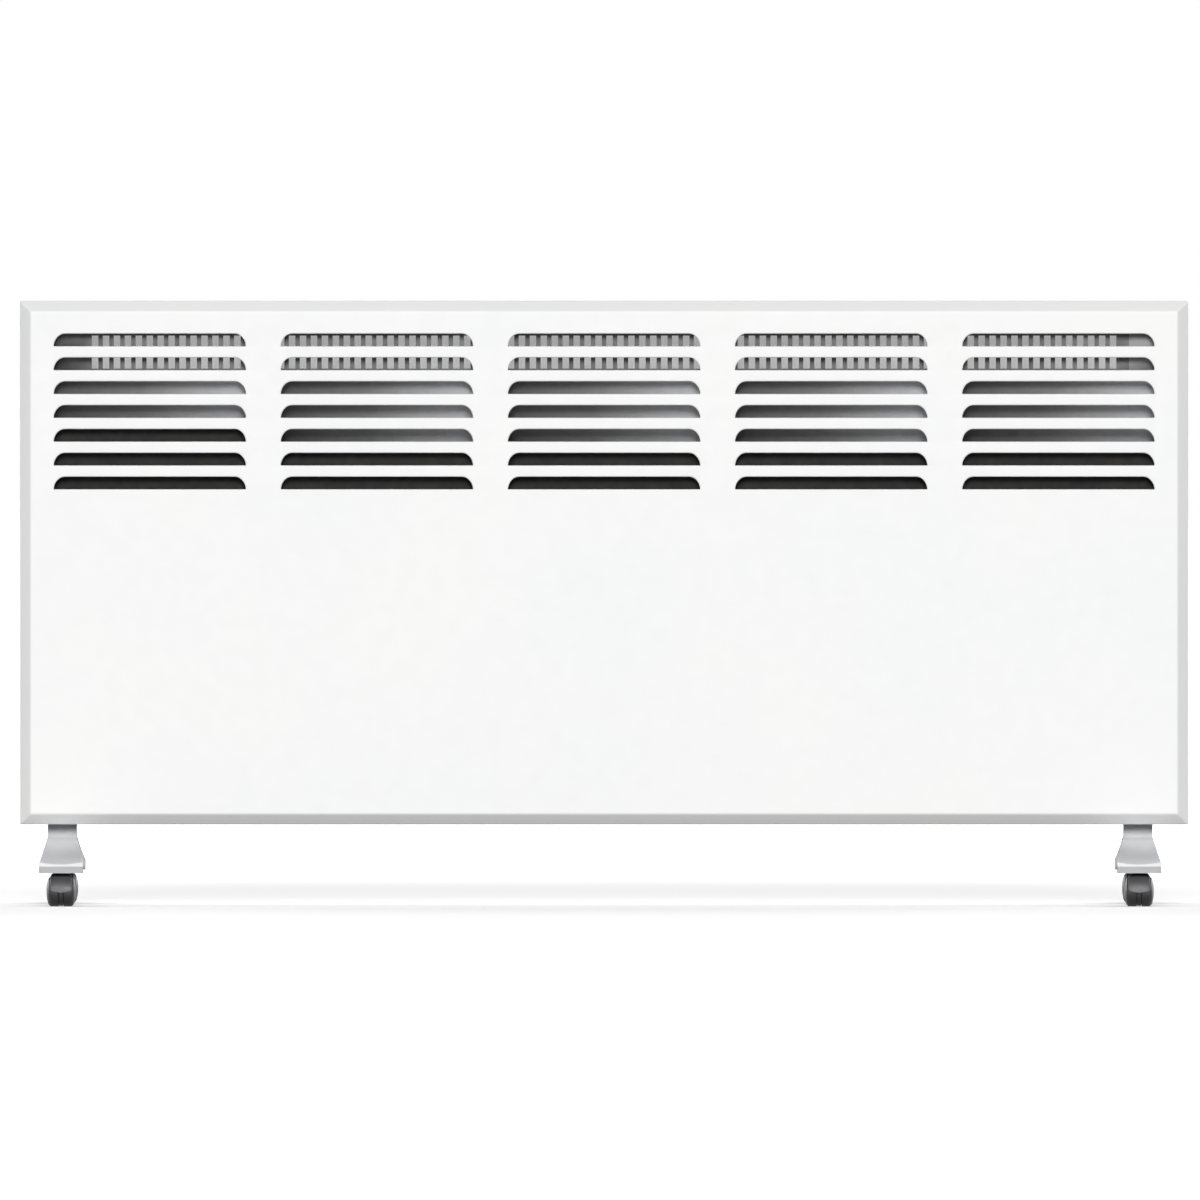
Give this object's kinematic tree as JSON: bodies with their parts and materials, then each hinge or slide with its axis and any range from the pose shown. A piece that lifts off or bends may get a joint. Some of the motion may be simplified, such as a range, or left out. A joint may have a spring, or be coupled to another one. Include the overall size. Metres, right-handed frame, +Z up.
{
  "type": "wall panel convector heater",
  "caption": "Slim white panel convector heater with slotted front, side controls and moulded feet on swivel castors; stands on the floor or hangs by its flat back.",
  "frame": {"origin": "on the floor, below the middle of the whole heater's width and depth", "axes": "+X to the viewer's right along the panel, +Y to the back of the heater, +Z up; the slotted front faces -Y"},
  "size_m": [0.89, 0.23, 0.4605],
  "materials": {
    "powder_coat": "white powder coat, fine texture, semi-matt",
    "galvanised_sheet": "satin galvanised sheet",
    "bright_sheet": "light grey coated sheet",
    "black_coat": "matt black heat-resistant coat",
    "element_aluminium": "extruded, unpolished",
    "ceramic": "unglazed steatite",
    "zinc_steel": "zinc plated",
    "white_plastic": "fine moulded texture",
    "grey_plastic": "satin light grey moulding",
    "black_plastic": "satin black moulding",
    "wheel_plastic": "satin dark grey moulding",
    "amber_lens": "translucent amber",
    "lead_sheath": "silicone insulation"
  },
  "bodies": {
    "heater_body": {"front_panel": "powder_coat", "rear_casing": "powder_coat", "air_deflector": "galvanised_sheet", "air_guide": "bright_sheet", "heat_shield": "black_coat", "element_profile": "element_aluminium", "element_bushing_left": "ceramic", "element_bushing_right": "ceramic", "thermostat_body": "ceramic", "thermal_cutout": "ceramic", "element_terminal_left": "zinc_steel", "element_terminal_right": "zinc_steel", "element_bracket_left": "zinc_steel", "element_bracket_right": "zinc_steel", "panel_screw_1": "zinc_steel", "panel_screw_2": "zinc_steel", "panel_screw_3": "zinc_steel", "panel_screw_4": "zinc_steel", "foot_screw_left_1": "zinc_steel", "foot_screw_left_2": "zinc_steel", "foot_screw_right_1": "zinc_steel", "foot_screw_right_2": "zinc_steel", "castor_front_left_stem": "zinc_steel", "castor_front_right_stem": "zinc_steel", "castor_rear_left_stem": "zinc_steel", "castor_rear_right_stem": "zinc_steel", "control_plate": "white_plastic", "terminal_block": "white_plastic", "foot_left": "grey_plastic", "foot_right": "grey_plastic", "switch_body_1": "black_plastic", "switch_body_2": "black_plastic", "cord_gland": "black_plastic", "gland_nut": "black_plastic", "tilt_switch": "black_plastic", "indicator_lens": "amber_lens", "switch_lead": "lead_sheath", "element_lead_left": "lead_sheath", "element_lead_right": "lead_sheath"},
    "castor_front_left": {"castor_front_left_hood": "black_plastic", "castor_front_left_axle": "zinc_steel"},
    "wheel_front_left_a": {"castor_front_left_wheel_a": "wheel_plastic"},
    "wheel_front_left_b": {"castor_front_left_wheel_b": "wheel_plastic"},
    "castor_front_right": {"castor_front_right_hood": "black_plastic", "castor_front_right_axle": "zinc_steel"},
    "wheel_front_right_a": {"castor_front_right_wheel_a": "wheel_plastic"},
    "wheel_front_right_b": {"castor_front_right_wheel_b": "wheel_plastic"},
    "castor_rear_left": {"castor_rear_left_hood": "black_plastic", "castor_rear_left_axle": "zinc_steel"},
    "wheel_rear_left_a": {"castor_rear_left_wheel_a": "wheel_plastic"},
    "wheel_rear_left_b": {"castor_rear_left_wheel_b": "wheel_plastic"},
    "castor_rear_right": {"castor_rear_right_hood": "black_plastic", "castor_rear_right_axle": "zinc_steel"},
    "wheel_rear_right_a": {"castor_rear_right_wheel_a": "wheel_plastic"},
    "wheel_rear_right_b": {"castor_rear_right_wheel_b": "wheel_plastic"},
    "thermostat_dial": {"thermostat_knob": "grey_plastic", "thermostat_shaft": "zinc_steel"},
    "rocker_1": {"switch_rocker_1": "black_plastic"},
    "rocker_2": {"switch_rocker_2": "black_plastic"}
  },
  "joints": [
    {"name": "castor_front_left_swivel", "type": "hinge", "parent": "heater_body", "child": "castor_front_left", "pos_m": [-0.413, -0.086, 0.02], "axis": [0, 0, 1], "continuous": true},
    {"name": "wheel_front_left_a_spin", "type": "hinge", "parent": "castor_front_left", "child": "wheel_front_left_a", "pos_m": [-0.413, -0.097, 0.0114], "axis": [1, 0, 0], "continuous": true},
    {"name": "wheel_front_left_b_spin", "type": "hinge", "parent": "castor_front_left", "child": "wheel_front_left_b", "pos_m": [-0.413, -0.097, 0.0114], "axis": [1, 0, 0], "continuous": true},
    {"name": "castor_front_right_swivel", "type": "hinge", "parent": "heater_body", "child": "castor_front_right", "pos_m": [0.407, -0.086, 0.02], "axis": [0, 0, 1], "continuous": true},
    {"name": "wheel_front_right_a_spin", "type": "hinge", "parent": "castor_front_right", "child": "wheel_front_right_a", "pos_m": [0.407, -0.097, 0.0114], "axis": [1, 0, 0], "continuous": true},
    {"name": "wheel_front_right_b_spin", "type": "hinge", "parent": "castor_front_right", "child": "wheel_front_right_b", "pos_m": [0.407, -0.097, 0.0114], "axis": [1, 0, 0], "continuous": true},
    {"name": "castor_rear_left_swivel", "type": "hinge", "parent": "heater_body", "child": "castor_rear_left", "pos_m": [-0.413, 0.086, 0.02], "axis": [0, 0, 1], "continuous": true},
    {"name": "wheel_rear_left_a_spin", "type": "hinge", "parent": "castor_rear_left", "child": "wheel_rear_left_a", "pos_m": [-0.413, 0.097, 0.0114], "axis": [1, 0, 0], "continuous": true},
    {"name": "wheel_rear_left_b_spin", "type": "hinge", "parent": "castor_rear_left", "child": "wheel_rear_left_b", "pos_m": [-0.413, 0.097, 0.0114], "axis": [1, 0, 0], "continuous": true},
    {"name": "castor_rear_right_swivel", "type": "hinge", "parent": "heater_body", "child": "castor_rear_right", "pos_m": [0.407, 0.086, 0.02], "axis": [0, 0, 1], "continuous": true},
    {"name": "wheel_rear_right_a_spin", "type": "hinge", "parent": "castor_rear_right", "child": "wheel_rear_right_a", "pos_m": [0.407, 0.097, 0.0114], "axis": [1, 0, 0], "continuous": true},
    {"name": "wheel_rear_right_b_spin", "type": "hinge", "parent": "castor_rear_right", "child": "wheel_rear_right_b", "pos_m": [0.407, 0.097, 0.0114], "axis": [1, 0, 0], "continuous": true},
    {"name": "thermostat_turn", "type": "hinge", "parent": "heater_body", "child": "thermostat_dial", "pos_m": [0.4355, 0.015, 0.2906], "axis": [-1, 0, 0], "range_deg": [0, 270]},
    {"name": "switch_1_tip", "type": "hinge", "parent": "heater_body", "child": "rocker_1", "pos_m": [0.4363, 0.015, 0.2476], "axis": [0, 1, 0], "range_deg": [0, 16]},
    {"name": "switch_2_tip", "type": "hinge", "parent": "heater_body", "child": "rocker_2", "pos_m": [0.4363, 0.015, 0.2196], "axis": [0, 1, 0], "range_deg": [0, 16]}
  ]
}
